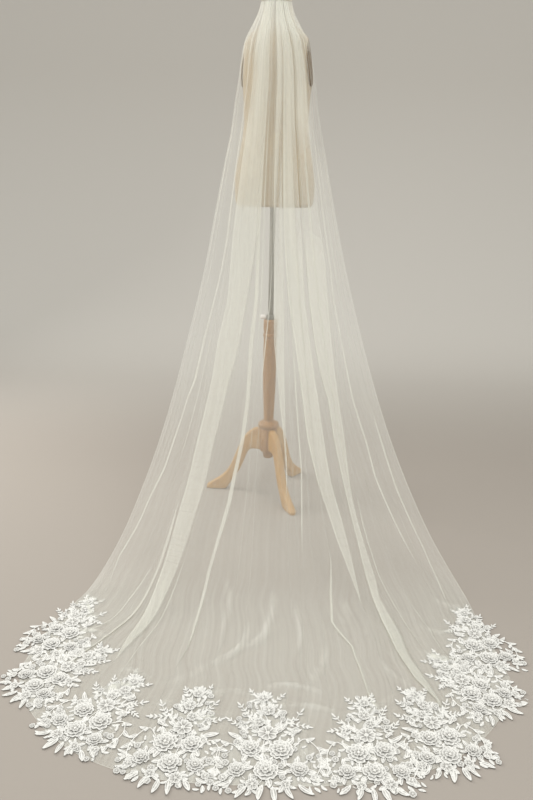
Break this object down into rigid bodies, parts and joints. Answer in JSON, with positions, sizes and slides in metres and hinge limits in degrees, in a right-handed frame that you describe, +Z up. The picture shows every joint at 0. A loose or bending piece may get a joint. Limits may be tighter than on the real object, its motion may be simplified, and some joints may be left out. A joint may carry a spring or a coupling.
{
  "type": "bridal veil on a limbless dress form and stand",
  "caption": "Long bridal veil of soft net, gathered on a comb and spread over the floor, with lace sprays round its hem, draped down a limbless dress form on a tripod stand.",
  "frame": {"origin": "on the floor, at the middle of the outline of the whole object seen from above", "axes": "+Z up, the train of the veil runs towards -Y with the stand at the +Y end, +X to the right for someone who looks at the train"},
  "size_m": [1.3651, 1.7702, 1.8659],
  "materials": {
    "tulle": "sheer soft ivory net with a faint sheen",
    "ribbon": "satin binding",
    "lace": "matt white corded lace",
    "comb": "clear glossy",
    "cover": "matt stretched jersey, tan",
    "plate": "dark brown satin",
    "steel": "dark metal",
    "knob": "pale pinkish plastic",
    "wood": "light orange-brown, satin varnish"
  },
  "bodies": {
    "root": {"tulle_panel": "tulle", "bound_edge": "ribbon", "comb": "comb", "lace_1": "lace", "lace_2": "lace", "lace_3": "lace", "lace_4": "lace", "lace_5": "lace", "lace_6": "lace", "lace_7": "lace", "lace_8": "lace", "lace_9": "lace", "torso": "cover", "armhole_plate_left": "plate", "armhole_plate_right": "plate", "neck_plate": "plate", "pole": "steel", "clamp_ring": "steel", "clamp_knob": "knob", "sleeve": "wood", "collar": "wood", "hub": "wood", "leg_front": "wood", "leg_left": "wood", "leg_right": "wood"}
  },
  "joints": []
}
